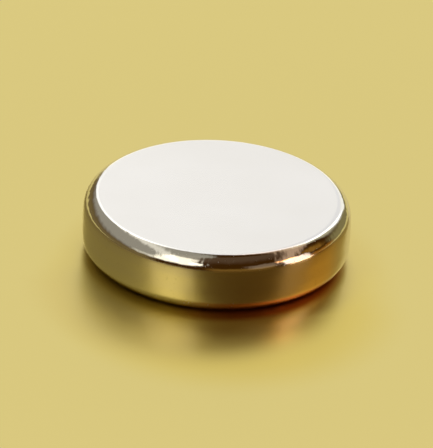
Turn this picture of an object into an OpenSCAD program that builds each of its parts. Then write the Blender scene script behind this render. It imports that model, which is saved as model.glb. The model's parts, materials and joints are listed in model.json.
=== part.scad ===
// Disc magnet: one solid disc with two flat faces, a straight barrel and rounded rims.
// Millimetres, +Z up. The origin is the centre of the lower face, and the disc's axis is +Z.

/* [Disc] */
// Outer diameter, across the barrel
disc_d = 13; // [6:0.5:40]
// Thickness, from the lower flat face to the upper one
disc_t = 3; // [2:0.25:10]

/* [Rims] */
// Radius of the rounding where each flat face turns into the barrel
rim_r = 0.7; // [0.1:0.05:0.9]

/* [Hidden] */

// Facets in a full turn, fine enough for a true circle
$fn = 128;

// Radius of the barrel
disc_r = disc_d / 2;
// Radius of each flat face, where the rounding starts
face_r = disc_r - rim_r;
// Height of the straight barrel between the two roundings
land_h = disc_t - 2 * rim_r;

nickel = [0.87, 0.85, 0.80];

// Half of the disc's section, standing on the X axis with the disc's axis at x = 0
module half_section() {
    // Core between the two flat faces
    square([face_r, disc_t]);
    // Straight barrel
    translate([0, rim_r])
        square([disc_r, land_h]);
    // Quarter-round rims, tangent to the faces and to the barrel
    for (z = [rim_r, disc_t - rim_r])
        translate([face_r, z])
            circle(r = rim_r);
}

// The whole magnet, pressed and plated as one piece
module magnet_disc() {
    color(nickel)
        rotate_extrude()
            half_section();
}

magnet_disc();
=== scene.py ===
import json
import math
import random

import bpy
from mathutils import Matrix, Vector, noise


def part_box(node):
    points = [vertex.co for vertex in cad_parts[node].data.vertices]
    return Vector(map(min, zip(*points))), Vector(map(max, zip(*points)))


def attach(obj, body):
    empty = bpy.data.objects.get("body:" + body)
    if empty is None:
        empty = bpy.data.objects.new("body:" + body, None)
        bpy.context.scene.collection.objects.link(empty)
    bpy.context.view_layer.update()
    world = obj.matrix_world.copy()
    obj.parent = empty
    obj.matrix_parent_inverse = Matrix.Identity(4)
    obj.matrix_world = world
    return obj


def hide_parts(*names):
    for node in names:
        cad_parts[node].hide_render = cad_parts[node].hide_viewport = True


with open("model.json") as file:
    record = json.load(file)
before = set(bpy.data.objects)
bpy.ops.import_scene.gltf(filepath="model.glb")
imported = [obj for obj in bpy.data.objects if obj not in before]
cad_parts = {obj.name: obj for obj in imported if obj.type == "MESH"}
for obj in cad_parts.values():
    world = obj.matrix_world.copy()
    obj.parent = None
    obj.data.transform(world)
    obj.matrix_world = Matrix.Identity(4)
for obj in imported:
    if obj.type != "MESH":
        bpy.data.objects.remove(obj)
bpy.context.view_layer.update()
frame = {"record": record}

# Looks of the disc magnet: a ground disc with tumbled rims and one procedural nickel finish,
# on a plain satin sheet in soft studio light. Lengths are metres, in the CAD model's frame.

MM = 0.001
MICRON = 0.000001

# ---------------------------------------------------------------- sizes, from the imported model
BARREL = next(m for m in frame["record"]["mounts"] if m["name"] == "barrel")
DISC_R = BARREL["dims"]["r_mm"] * MM
LAND_H = BARREL["dims"]["length_mm"] * MM    # the straight part of the barrel
NODE_LOW, NODE_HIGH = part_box("magnet_disc")
BOTTOM_Z, TOP_Z = NODE_LOW.z, NODE_HIGH.z
DISC_T = TOP_Z - BOTTOM_Z
RIM_R = (DISC_T - LAND_H) / 2
FACE_R = DISC_R - RIM_R
MIDDLE = Vector((0, 0, (BOTTOM_Z + TOP_Z) / 2))

# where the rim starts and ends along the section, from the barrel's middle
RIM_START = LAND_H / 2
RIM_END = RIM_START + RIM_R * math.pi / 2

# ---------------------------------------------------------------- mesh density
SEGMENTS = 1024            # round the rims and the barrel
RIM_STEPS = 18             # across each quarter-round rim
LAND_STEPS = 12            # from the barrel's middle to its rim
EDGE_RINGS = 5             # finest rings on a face, next to its rim
LEVEL_RINGS = 3            # rings before a face halves its segments again
EDGE_STEP = 0.03 * MM      # between those finest rings
WIDEST_STEP = 0.55 * MM    # the most between any but the innermost two
COARSEST = 16              # segments of a face's innermost ring

# ---------------------------------------------------------------- surface relief, always inward
RIM_SINK = 52 * MICRON       # how far tumbling has worn the rims
LAND_ROLL = 0.48 * MM        # half the width of the soft turn from barrel to rim
RIM_RELIEF = 10 * MICRON     # tumbling marks on the rims
RIM_MARKS = 2.6              # of them per millimetre
LAND_RELIEF = 6 * MICRON     # waves round the barrel
LAND_WAVES = 1.3             # of them per millimetre
LAND_FADE = 0.3 * LAND_H     # half the width of the band in which they fade out
FINER_FADE = 1.0             # how fast the finer layers of marks and waves fade
FINER_STEP = 2.1             # how much finer each layer is

# dents along the rims: how many, and the range of each one's slope, size in mm and depth in microns
NICKS_PER_RIM = 34
NICK_SLOPES = (0.45, 1.5)
NICK_LENGTHS = (0.03, 0.13)
NICK_WIDTHS = (0.02, 0.06)
NICK_DEPTHS = (2, 9)
NICK_REACH = 3               # sizes from its middle at which a dent has ended

random.seed(13)


# ================================================================ mesh
def face_rings():
    """(radius, segments) of each ring of a flat face, from next to the rim inwards."""
    rings, radius, segments, step = [], FACE_R, SEGMENTS, EDGE_STEP
    count = EDGE_RINGS
    while segments > COARSEST:
        for _ in range(count):
            radius -= step
            rings.append((radius, segments))
        segments //= 2
        step = min(2 * step, WIDEST_STEP)
        count = LEVEL_RINGS
    rings.append((radius / 2, segments))
    return rings


def profile():
    """Rings from the lower face's middle to the upper one's.

    Each is (radius, height, segments, slope, along). The height is from the disc's middle, and the
    slope is 0 on the barrel and a quarter turn on a face. Along is the distance on the section from
    the barrel's middle.
    """
    upper = []
    for i in range(LAND_STEPS):
        height = RIM_START * i / LAND_STEPS
        upper.append((DISC_R, height, SEGMENTS, 0, height))
    for i in range(RIM_STEPS + 1):
        slope = math.pi / 2 * i / RIM_STEPS
        radius = FACE_R + RIM_R * math.cos(slope)
        height = RIM_START + RIM_R * math.sin(slope)
        upper.append((radius, height, SEGMENTS, slope, RIM_START + RIM_R * slope))
    for radius, segments in face_rings():
        upper.append((radius, DISC_T / 2, segments, math.pi / 2, RIM_END + FACE_R - radius))
    lower = [(r, -height, n, -slope, along) for r, height, n, slope, along in reversed(upper[1:])]
    return lower + upper


def make_nicks():
    """Small dents that tumbling leaves along the rims.

    Each is (angle, slope, length along the rim, width across it, depth).
    """
    nicks = []
    for side in (-1, 1):
        for _ in range(NICKS_PER_RIM):
            nicks.append((random.uniform(0, 2 * math.pi),
                          side * random.uniform(*NICK_SLOPES),
                          random.uniform(*NICK_LENGTHS) * MM,
                          random.uniform(*NICK_WIDTHS) * MM,
                          random.uniform(*NICK_DEPTHS) * MICRON))
    return nicks


def nicks_near(nicks, slope):
    """The dents that reach a ring with this slope.

    All rings of a face have the same slope, so a dent at its very edge runs on faintly over it.
    """
    near = []
    for nick in nicks:
        _, nick_slope, _, width, _ = nick
        if abs(nick_slope - slope) * RIM_R < NICK_REACH * width:
            near.append(nick)
    return near


def eased(value, middle, half):
    """0 to 1 in a smooth step, half each side of middle."""
    t = min(max((value - middle + half) / (2 * half), 0.0), 1.0)
    return t * t * (3 - 2 * t)


def uneven(spot, per_mm, layers):
    """Noise round 0.5, with per_mm features to the millimetre."""
    return 0.5 + 0.5 * noise.fractal(spot * per_mm, FINER_FADE, FINER_STEP, layers)


def relief(angle, height, slope, along, nicks):
    """How far a surface point lies below the ideal form."""
    around = Vector((math.cos(angle), math.sin(angle), 0)) * (DISC_R / MM)
    spot = around + Vector((0, 0, height / MM))
    on_rim = math.sin(2 * abs(slope))
    depth = on_rim * RIM_RELIEF * uneven(spot, RIM_MARKS, 3)
    on_land = 1 - eased(along, RIM_START, LAND_FADE)
    depth += on_land * LAND_RELIEF * uneven(spot, LAND_WAVES, 2)
    release = (RIM_END - RIM_START - LAND_ROLL) / 2
    worn = RIM_SINK * eased(along, RIM_START, LAND_ROLL)
    depth += worn * (1 - eased(along, RIM_END - release, release))
    for nick_angle, nick_slope, length, width, deep in nicks:
        turn = (angle - nick_angle + math.pi) % (2 * math.pi) - math.pi
        if abs(turn) * DISC_R > NICK_REACH * length:
            continue
        u = turn * DISC_R / length
        v = (slope - nick_slope) * RIM_R / width
        depth += deep * math.exp(-u * u - v * v)
    return depth


def bridge(faces, outer, outer_n, inner, inner_n):
    """Faces between two rings. The first may have the same, twice or half the segments of the second."""
    if outer_n == inner_n:
        for i in range(outer_n):
            j = (i + 1) % outer_n
            faces.append((outer + i, outer + j, inner + j, inner + i))
    elif outer_n == 2 * inner_n:
        for i in range(inner_n):
            a, b, c = outer + 2 * i, outer + 2 * i + 1, outer + (2 * i + 2) % outer_n
            p, q = inner + i, inner + (i + 1) % inner_n
            faces += [(a, b, p), (b, q, p), (b, c, q)]
    else:
        for i in range(outer_n):
            a, b = outer + i, outer + (i + 1) % outer_n
            p, q, s = inner + 2 * i, inner + 2 * i + 1, inner + (2 * i + 2) % inner_n
            faces += [(a, q, p), (a, b, q), (b, s, q)]


def make_disc():
    rings, nicks = profile(), make_nicks()
    points = [(0, 0, BOTTOM_Z)]
    starts = []
    for radius, level, segments, slope, along in rings:
        starts.append(len(points))
        height = MIDDLE.z + level
        near = nicks_near(nicks, slope)
        for i in range(segments):
            angle = 2 * math.pi * i / segments
            down = relief(angle, height, slope, along, near)
            r = radius - down * math.cos(slope)
            z = height - down * math.sin(slope)
            points.append((r * math.cos(angle), r * math.sin(angle), z))
    points.append((0, 0, TOP_Z))
    faces = []
    first_n, last_n = rings[0][2], rings[-1][2]
    for i in range(first_n):
        faces.append((0, starts[0] + (i + 1) % first_n, starts[0] + i))
    for k in range(len(rings) - 1):
        bridge(faces, starts[k], rings[k][2], starts[k + 1], rings[k + 1][2])
    for i in range(last_n):
        faces.append((len(points) - 1, starts[-1] + i, starts[-1] + (i + 1) % last_n))
    mesh = bpy.data.meshes.new("magnet")
    mesh.from_pydata(points, [], faces)
    mesh.validate()
    mesh.shade_smooth()
    disc = bpy.data.objects.new("magnet", mesh)
    bpy.context.scene.collection.objects.link(disc)
    return disc


# ================================================================ shader nodes
class Nodes:
    """Short calls for the node tree of a material, a world or a lamp."""

    def __init__(self, owner, shader="Principled BSDF"):
        owner.use_nodes = True
        self.tree = owner.node_tree
        self.shader = self.tree.nodes[shader]

    def add(self, kind, **settings):
        node = self.tree.nodes.new(kind)
        for name, value in settings.items():
            setattr(node, name, value)
        return node

    def put(self, socket, value):
        """Link a socket, or set a constant."""
        if isinstance(value, bpy.types.NodeSocket):
            self.tree.links.new(value, socket)
        else:
            socket.default_value = value

    def feed(self, node, **values):
        """Put each value into the input of its name."""
        for name, value in values.items():
            self.put(node.inputs[name], value)

    def split(self, vector):
        """The X, Y and Z of a vector."""
        node = self.add("ShaderNodeSeparateXYZ")
        self.put(node.inputs[0], vector)
        return node.outputs

    def maths(self, operation, *values):
        node = self.add("ShaderNodeMath", operation=operation)
        for socket, value in zip(node.inputs, values):
            self.put(socket, value)
        return node.outputs[0]

    def length(self, a, b):
        """The length of a vector with the parts a and b."""
        squares = self.maths("ADD", self.maths("MULTIPLY", a, a), self.maths("MULTIPLY", b, b))
        return self.maths("SQRT", squares)

    def ramp(self, value, low, high, to_low=0.0, to_high=1.0):
        """A smooth step from to_low to to_high as value goes from low to high."""
        node = self.add("ShaderNodeMapRange", interpolation_type="SMOOTHSTEP")
        for socket, number in zip(node.inputs, (value, low, high, to_low, to_high)):
            self.put(socket, number)
        return node.outputs[0]

    def grain(self, vector, per_mm, detail=3.0, rough=0.55, turn=0.0):
        """Noise with per_mm features to the millimetre along X, Y and Z, turned by degrees about Z."""
        turned = self.add("ShaderNodeMapping", vector_type="TEXTURE")
        self.feed(turned, Vector=vector, Rotation=(0, 0, math.radians(turn)))
        scaled = self.add("ShaderNodeMapping")
        self.feed(scaled, Vector=turned.outputs[0], Scale=tuple(count / MM for count in per_mm))
        made = self.add("ShaderNodeTexNoise", noise_dimensions="3D")
        self.feed(made, Vector=scaled.outputs[0], Scale=1.0, Detail=detail, Roughness=rough)
        return made.outputs["Fac"]

    def bump(self, height, distance):
        node = self.add("ShaderNodeBump")
        self.feed(node, Height=height, Distance=distance, Strength=1.0)
        return node.outputs[0]

    def mix(self, share, a, b):
        """A number between a and b."""
        node = self.add("ShaderNodeMix", data_type="FLOAT")
        for socket, value in zip((node.inputs[0], node.inputs[2], node.inputs[3]), (share, a, b)):
            self.put(socket, value)
        return node.outputs[0]

    def tint(self, share, a, b):
        """A colour between a and b."""
        node = self.add("ShaderNodeMix", data_type="RGBA")
        for socket, value in zip((node.inputs[0], node.inputs[6], node.inputs[7]), (share, a, b)):
            self.put(socket, value)
        return node.outputs[2]


# ================================================================ nickel plating
# radii, and heights off the middle, between which a finish gives way to the rim's
FACE_EDGE = (FACE_R - 0.03 * MM, FACE_R + 0.07 * MM)
LAND_EDGE = (RIM_START - 0.05 * MM, RIM_START + 0.10 * MM)

# Each kind of mark has its features to the millimetre along X, Y and Z. The faces are ground along X,
# and the barrel round its axis.
FINE_LINES = (0.35, 26, 0.01)
BROAD_LINES = (0.09, 3.2, 0.01)
SCRATCHES = (0.16, 14, 0.01)
LAND_LINES = (0.5, 0.5, 24)
ORANGE_PEEL = (3.2, 3.2, 3.2)
SPECKS = (7, 7, 7)
CLOUDS = (0.22, 0.3, 0.3)
BROAD_TURN = 1.5                # degrees off X
SCRATCH_TURN = -9
SCRATCH_STEP = (0.68, 0.76)     # levels of the noise at which one starts and is full
SPECK_STEP = (0.64, 0.74)

# least and most roughness from the finest marks, and what the broader ones add
FACE_ROUGH = (0.15, 0.23)
LAND_ROUGH = (0.06, 0.13)
RIM_ROUGH = (0.09, 0.32)
BROAD_ROUGH = 0.05
CLOUD_ROUGH = 0.04

NICKEL = (0.86, 0.845, 0.80, 1)
CLOUDED_NICKEL = (0.80, 0.78, 0.725, 1)
WORN_NICKEL = (0.55, 0.52, 0.46, 1)
WORN_SHARE = 0.35

BUMP_DEPTH = 1.5 * MICRON    # height of the orange peel
LAND_BUMP = 0.06             # height of the barrel's lines, as a share of it
FACE_BUMP = 0.5              # height of a face's fine lines, as a share of it
BROAD_BUMP = 0.8             # height of its broad lines, as a share of its fine ones
SCRATCH_BUMP = 0.5           # depth of its scratches, as a share of its fine ones


def nickel():
    """Bright nickel plating: satin ground faces, polished tumbled rims, and a bright ground barrel."""
    material = bpy.data.materials.new("nickel_plating")
    n = Nodes(material)
    place = n.add("ShaderNodeTexCoord").outputs["Object"]
    x, y, z = n.split(place)
    off_middle = n.maths("ABSOLUTE", n.maths("SUBTRACT", z, MIDDLE.z))
    on_face = n.ramp(n.length(x, y), *FACE_EDGE, 1.0, 0.0)
    on_land = n.ramp(off_middle, *LAND_EDGE, 1.0, 0.0)

    fine_lines = n.grain(place, FINE_LINES, detail=4.0, rough=0.65)
    broad_lines = n.grain(place, BROAD_LINES, detail=2.0, turn=BROAD_TURN)
    scratches = n.ramp(n.grain(place, SCRATCHES, detail=1.0, turn=SCRATCH_TURN), *SCRATCH_STEP)
    land_lines = n.grain(place, LAND_LINES, rough=0.6)
    orange_peel = n.grain(place, ORANGE_PEEL)
    specks = n.ramp(n.grain(place, SPECKS, detail=2.0), *SPECK_STEP)
    clouds = n.grain(place, CLOUDS, detail=2.0)

    broad_rough = n.maths("MULTIPLY", broad_lines, BROAD_ROUGH)
    cloud_rough = n.maths("MULTIPLY", clouds, CLOUD_ROUGH)
    face_rough = n.maths("ADD", n.mix(fine_lines, *FACE_ROUGH), broad_rough)
    land_rough = n.maths("ADD", n.mix(land_lines, *LAND_ROUGH), cloud_rough)
    side_rough = n.mix(on_land, n.mix(specks, *RIM_ROUGH), land_rough)
    n.put(n.shader.inputs["Roughness"], n.mix(on_face, side_rough, face_rough))

    body = n.tint(clouds, NICKEL, CLOUDED_NICKEL)
    worn = n.tint(n.maths("MULTIPLY", specks, WORN_SHARE), body, WORN_NICKEL)
    n.put(n.shader.inputs["Base Color"], n.tint(on_face, worn, body))
    n.shader.inputs["Metallic"].default_value = 1.0

    lines = n.maths("ADD", fine_lines, n.maths("MULTIPLY", broad_lines, BROAD_BUMP))
    cut = n.maths("SUBTRACT", lines, n.maths("MULTIPLY", scratches, SCRATCH_BUMP))
    face_height = n.maths("MULTIPLY", n.maths("MULTIPLY", on_face, cut), FACE_BUMP)
    side = n.maths("ADD", orange_peel, n.maths("MULTIPLY", land_lines, LAND_BUMP))
    side_height = n.maths("MULTIPLY", side, n.maths("SUBTRACT", 1.0, on_face))
    height = n.maths("ADD", face_height, side_height)
    n.put(n.shader.inputs["Normal"], n.bump(height, BUMP_DEPTH))
    return material


# ================================================================ satin sheet
FLOOR_HALF = 2.0
PALE_SHEET = (0.70, 0.584, 0.215, 1)    # the lit sheet
PAINTED_WARM_GLOW = (0.67, 0.525, 0.135, 1)    # painted warm glow on the sheet in front of the disc, a painted reflection of the barrel's orange
PALE_SHARE = 0.85                       # of what the lit sheet shows, and the rest is reflection
BACK_SHEET = (9 * MM, 18 * MM)          # how far back mirrors start to show it, and show it in full

SHEET_METAL = (0.69, 0.560, 0.140, 1)
CLOUDED_METAL = (0.67, 0.540, 0.130, 1)
SHEET_CLOUDS = (0.01, 0.012, 0.01)      # features to the millimetre
PAINTED_SHADE_LEFT = (0.42, 0.31, 0.045, 1)      # painted shade on the metal under the disc's edge, left and right; the right one is warmer, a painted reflection of the barrel's orange
PAINTED_SHADE_RIGHT = (0.46, 0.17, 0.015, 1)
PAINTED_SHADE_TURN = (-2.5 * MM, 1.5 * MM)       # where the one gives way to the other, along X
ROUGH_NEAR = 0.40
ROUGH_FAR = 0.20
ROUGH_TURN = (12 * MM, 45 * MM)         # distances from the middle at which it starts and has turned
COAT = 0.5
COAT_ROUGH = 0.22

# Soft-edged areas of the sheet. Each is given by the near and far end of a line in front of the
# disc's middle, the distances from that line at which the area starts to fade and has ended, and how
# far the line leans to the left for each unit that it runs to the front.
PIVOT = 1.8 * MM                        # how far in front of the middle such a line crosses x = 0
# painted contact shade: the area under the disc's edge where the metal is darkened
PAINTED_SHADE_AREA = (0, 0.8 * MM, DISC_R - 0.7 * MM, DISC_R, 0)
POOL = (1.0 * MM, 4.0 * MM, DISC_R - 0.8 * MM, DISC_R + 1.9 * MM, 0.56)
POOL_RIGHT = (0.5 * MM, 1.5 * MM, DISC_R - 0.3 * MM, DISC_R + 1.4 * MM, 0)
# where the painted warm glow lies, just past the pool
PAINTED_GLOW_AREA = (3.0 * MM, 5.6 * MM, DISC_R - 0.9 * MM, DISC_R + 2.6 * MM, -0.2)


def satin_floor():
    """A pale straw-coloured satin sheet, with the sheen of a metal.

    In the pool in front of the disc it shows the camera only what it mirrors, and under the disc's
    edge its metal is darkened by place as painted shade, warmer to the right as a painted reflection
    of the barrel. Elsewhere it shows its own pale colour, whatever the room is like, as a lit sheet
    does, with a painted warm glow just past the pool. Things that mirror the sheet show that colour
    only behind the disc.
    """
    material = bpy.data.materials.new("floor")
    # its own colour is seen and mirrored, but lights nothing
    material.cycles.emission_sampling = "NONE"
    n = Nodes(material)
    place = n.add("ShaderNodeTexCoord").outputs["Object"]
    x, y, _ = n.split(place)

    def outside(near, far, start, end, lean):
        """0 in an area of the sheet, and 1 outside it."""
        along = n.maths("MINIMUM", n.maths("MAXIMUM", y, -far), -near)
        ahead = n.maths("SUBTRACT", y, along)
        shift = n.maths("MULTIPLY", n.maths("ADD", along, PIVOT), lean)
        aside = n.maths("SUBTRACT", x, shift)
        return n.ramp(n.length(aside, ahead), start, end)

    clouds = n.grain(place, SHEET_CLOUDS, detail=2.0)
    open_metal = n.tint(clouds, SHEET_METAL, CLOUDED_METAL)
    # painted shade: the metal is darkened by place under the disc's edge, warmer to the right
    painted_shade = n.tint(n.ramp(x, *PAINTED_SHADE_TURN), PAINTED_SHADE_LEFT, PAINTED_SHADE_RIGHT)
    n.put(n.shader.inputs["Base Color"], n.tint(outside(*PAINTED_SHADE_AREA), painted_shade, open_metal))
    rough = n.ramp(n.length(x, y), *ROUGH_TURN, ROUGH_NEAR, ROUGH_FAR)
    n.put(n.shader.inputs["Roughness"], rough)
    n.shader.inputs["Coat Weight"].default_value = COAT
    n.shader.inputs["Coat Roughness"].default_value = COAT_ROUGH
    n.shader.inputs["Metallic"].default_value = 1.0

    ray = n.add("ShaderNodeLightPath").outputs
    past_pool = n.maths("MINIMUM", outside(*POOL), outside(*POOL_RIGHT))
    to_camera = n.maths("MULTIPLY", ray["Is Camera Ray"], past_pool)
    seen_in_things = n.maths("MAXIMUM", ray["Is Glossy Ray"], ray["Is Transmission Ray"])
    to_things = n.maths("MULTIPLY", seen_in_things, n.ramp(y, *BACK_SHEET))
    share = n.maths("MULTIPLY", n.maths("ADD", to_camera, to_things), PALE_SHARE)
    pale = n.add("ShaderNodeEmission")
    # painted reflection: the pale colour turns warmer just in front of the disc
    n.put(pale.inputs["Color"], n.tint(outside(*PAINTED_GLOW_AREA), PAINTED_WARM_GLOW, PALE_SHEET))
    both = n.add("ShaderNodeMixShader")
    n.put(both.inputs[0], share)
    n.put(both.inputs[1], n.shader.outputs[0])
    n.put(both.inputs[2], pale.outputs[0])
    n.put(n.tree.nodes["Material Output"].inputs["Surface"], both.outputs[0])
    return material


def make_floor():
    mesh = bpy.data.meshes.new("floor")
    half = FLOOR_HALF
    corners = [(-half, -half), (half, -half), (half, half), (-half, half)]
    mesh.from_pydata([(x, y, BOTTOM_Z) for x, y in corners], [], [(0, 1, 2, 3)])
    floor = bpy.data.objects.new("floor", mesh)
    floor.data.materials.append(satin_floor())
    bpy.context.scene.collection.objects.link(floor)
    return floor


# ================================================================ room and lamps
# Angles are degrees, and a colour is what the thing looks like, where 1 is white.
DIM_ROOM = (0.044, 0.015, 0.001)
# azimuth, reach each side, lowest and highest elevation, softness of the edges, colour
ROOM_GLOWS = [
    (262, 78, 20, 110, 8, (0.285, 0.29, 0.25)),    # upper wall and ceiling, left
    (250, 57, -30, 16, 8, (0.125, 0.105, 0.045)),  # lower wall, left
    (180, 14, -30, 14, 6, (0.68, 0.62, 0.34)),     # lower wall at the back
    (140, 14, 27, 56, 7, (0.40, 0.385, 0.27)),     # wall right of the back lamp
    (140, 26, -30, 22, 8, (0.19, 0.18, 0.08)),     # lower wall, right
    (30, 95, 52, 110, 12, (0.045, 0.036, 0.026)),  # upper wall and ceiling, right
    (98, 16, -30, 9, 6, (0.26, 0.10, 0.01)),       # warm low wall, right
    (24, 28, -30, 13, 7, (0.13, 0.075, 0.015)),    # lower wall in front
    (324, 18.5, 20, 59, 4, (1.08, 1.0, 0.82)),     # pale screen, front left
]
# azimuth and elevation of a strip's pole, half its width, softness, its azimuth, reach, colour
ROOM_STRIPS = [
    (75, 26, 5, 3, 255, 72, (0.50, 0.48, 0.43)),
    (314, 33, 6, 4, 118, 58, (0.44, 0.31, 0.21)),
]
STRIP_END = 6      # softness of a strip's ends
STRIP_FOOT = 20    # elevation by which a strip has its full strength

LAMP_DISTANCE = 1.2
BACK_LIGHT = (0.84, 0.865, 0.91)
# name, azimuth, elevation, width, height, colour, share of the width and height that fades at each side
COMMON_LAMP = ("back", 171, 31.5, 43, 47, BACK_LIGHT, 0)
DISC_LAMPS = [
    ("back_right", 147, 34, 17, 40, BACK_LIGHT, 0.32),
    ("front_right", 72.5, 9, 30, 43, (1.5, 1.24, 1.06), 0.2),
    ("front_right_warm", 67, 26, 21, 13, (2.85, 1.15, 0.3), 0.35),
    ("front_right_far", 96, 27, 28, 28, (0.20, 0.10, 0.015), 0.4),
    ("front_left_far", 297, 21, 32, 18, (0.37, 0.36, 0.30), 0.35),
    ("front_left_end", 344, 34, 12, 22, (1.8, 1.7, 1.45), 0.4),
    ("front_dim", 42, 18, 34, 34, (0.16, 0.125, 0.09), 0.3),
]
FLOOR_LAMPS = [
    ("floor_right_low", 75, 7, 29, 14, (0.86, 0.39, 0.05), 0.2),
    ("floor_right_edge", 77, 4, 28, 8, (4.8, 3.8, 3.0), 0.3),
    ("floor_right", 105, 44, 34, 44, (0.61, 0.325, 0.048), 0.15),
    ("floor_right_high", 104, 59, 50, 16, (2.3, 1.35, 0.8), 0.3),
]


def direction(azimuth, elevation):
    """Unit vector towards a point round the disc. Azimuth 0 is the front, -Y, and 90 is +X."""
    a, e = math.radians(azimuth), math.radians(elevation)
    return Vector((math.sin(a) * math.cos(e), -math.cos(a) * math.cos(e), math.sin(e)))


def softbox(name, azimuth, elevation, wide, tall, colour, edge):
    """A rectangular lamp that covers wide x tall degrees of the view from the disc.

    Its light fades out over the share edge of its width and height at each side.
    """
    lamp = bpy.data.lights.new(name, "AREA")
    lamp.shape = "RECTANGLE"
    lamp.size = 2 * LAMP_DISTANCE * math.tan(math.radians(wide) / 2)
    lamp.size_y = 2 * LAMP_DISTANCE * math.tan(math.radians(tall) / 2)
    level = max(colour)
    lamp.color = [c / level for c in colour]
    # so that it looks as bright as its colour says
    lamp.energy = level * math.pi * lamp.size * lamp.size_y
    if edge > 0:
        n = Nodes(lamp, "Emission")
        across, up, _ = n.split(n.add("ShaderNodeNewGeometry").outputs["Parametric"])
        fades = []
        for place in (across, up):
            fades.append(n.ramp(place, 0.0, edge))
            fades.append(n.ramp(place, 1.0 - edge, 1.0, 1.0, 0.0))
        strength = fades[0]
        for fade in fades[1:]:
            strength = n.maths("MULTIPLY", strength, fade)
        n.put(n.shader.inputs["Strength"], strength)
    box = bpy.data.objects.new(name, lamp)
    back = direction(azimuth, elevation)
    box.location = MIDDLE + back * LAMP_DISTANCE
    box.rotation_mode = "QUATERNION"
    box.rotation_quaternion = back.to_track_quat("Z", "Y")
    box.visible_camera = False
    bpy.context.scene.collection.objects.link(box)
    return box


def light_only(lamp, thing):
    """Let a lamp light one object alone."""
    lit = bpy.data.collections.new(lamp.name + "_lights")
    lit.objects.link(thing)
    lamp.light_linking.receiver_collection = lit


def make_world():
    """A dim room with soft pale areas on its walls and ceiling."""
    world = bpy.data.worlds.new("room")
    bpy.context.scene.world = world
    n = Nodes(world, "Background")
    where = n.add("ShaderNodeTexCoord").outputs["Generated"]
    x, y, z = n.split(where)
    rise = n.maths("ARCSINE", z)
    level_length = n.maths("SQRT", n.maths("SUBTRACT", 1.0, n.maths("MULTIPLY", z, z)))

    def step(angle, edge, soft, below, above):
        """A smooth step from below to above, soft degrees each side of edge."""
        return n.ramp(angle, math.radians(edge - soft), math.radians(edge + soft), below, above)

    def within(azimuth, reach, soft):
        """1 up to reach degrees each side of azimuth, and 0 past it."""
        middle = direction(azimuth, 0)
        along = n.maths("ADD", n.maths("MULTIPLY", x, middle.x), n.maths("MULTIPLY", y, middle.y))
        turn = n.maths("ARCCOSINE", n.maths("DIVIDE", along, level_length))
        return step(turn, reach, soft, 1.0, 0.0)

    def scaled(colour, across, up):
        """A colour at the strength across times up."""
        node = n.add("ShaderNodeVectorMath", operation="SCALE")
        n.put(node.inputs[0], colour)
        n.put(node.inputs["Scale"], n.maths("MULTIPLY", across, up))
        return node.outputs[0]

    def glow(azimuth, reach, low, high, soft, colour):
        """A soft-edged area of wall, reach degrees each side of azimuth and from low to high."""
        foot = step(rise, low, soft, 0.0, 1.0)
        head = step(rise, high, soft, 1.0, 0.0)
        return scaled(colour, within(azimuth, reach, soft), n.maths("MULTIPLY", foot, head))

    def strip(pole_azimuth, pole_elevation, half, soft, azimuth, reach, colour):
        """A soft-edged strip over the ceiling, on the great circle round its pole."""
        off = n.add("ShaderNodeVectorMath", operation="DOT_PRODUCT")
        n.put(off.inputs[0], where)
        n.put(off.inputs[1], direction(pole_azimuth, pole_elevation))
        tilt = n.maths("ABSOLUTE", n.maths("ARCSINE", off.outputs["Value"]))
        across = step(tilt, half, soft, 1.0, 0.0)
        above = n.ramp(rise, 0.0, math.radians(STRIP_FOOT))
        return scaled(colour, within(azimuth, reach, STRIP_END), n.maths("MULTIPLY", across, above))

    total = DIM_ROOM
    for part in [glow(*area) for area in ROOM_GLOWS] + [strip(*line) for line in ROOM_STRIPS]:
        added = n.add("ShaderNodeVectorMath", operation="ADD")
        n.put(added.inputs[0], total)
        n.put(added.inputs[1], part)
        total = added.outputs[0]
    n.put(n.shader.inputs["Color"], total)


# ================================================================ camera
VIEW_ELEVATION = 28.1
VIEW_ROLL = 3.3
VIEW_DISTANCE = 52 * 2 * DISC_R    # 52 disc diameters
DISC_SHARE = 0.62                  # of the picture's width
FRAME_W, FRAME_H = 433, 448
SENSOR = 36.0                      # millimetres, along the picture's height


def make_camera():
    lens = bpy.data.cameras.new("camera")
    camera = bpy.data.objects.new("camera", lens)
    back = direction(0, VIEW_ELEVATION)
    camera.location = MIDDLE + back * VIEW_DISTANCE
    roll = Matrix.Rotation(math.radians(VIEW_ROLL), 3, "Z")
    turn = back.to_track_quat("Z", "Y").to_matrix() @ roll
    camera.rotation_mode = "QUATERNION"
    camera.rotation_quaternion = turn.to_quaternion()
    lens.sensor_width = SENSOR
    lens.lens = SENSOR * VIEW_DISTANCE / (2 * DISC_R) * DISC_SHARE * FRAME_W / FRAME_H
    lens.clip_start, lens.clip_end = 0.05, 20
    bpy.context.scene.collection.objects.link(camera)
    bpy.context.scene.camera = camera


# ================================================================ the scene
disc = make_disc()
disc.data.materials.append(nickel())
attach(disc, "root")
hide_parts("magnet_disc")

floor = make_floor()
make_world()
softbox(*COMMON_LAMP)
for lamp in DISC_LAMPS:
    light_only(softbox(*lamp), disc)
for lamp in FLOOR_LAMPS:
    light_only(softbox(*lamp), floor)
make_camera()
bpy.context.scene.view_settings.view_transform = "Standard"
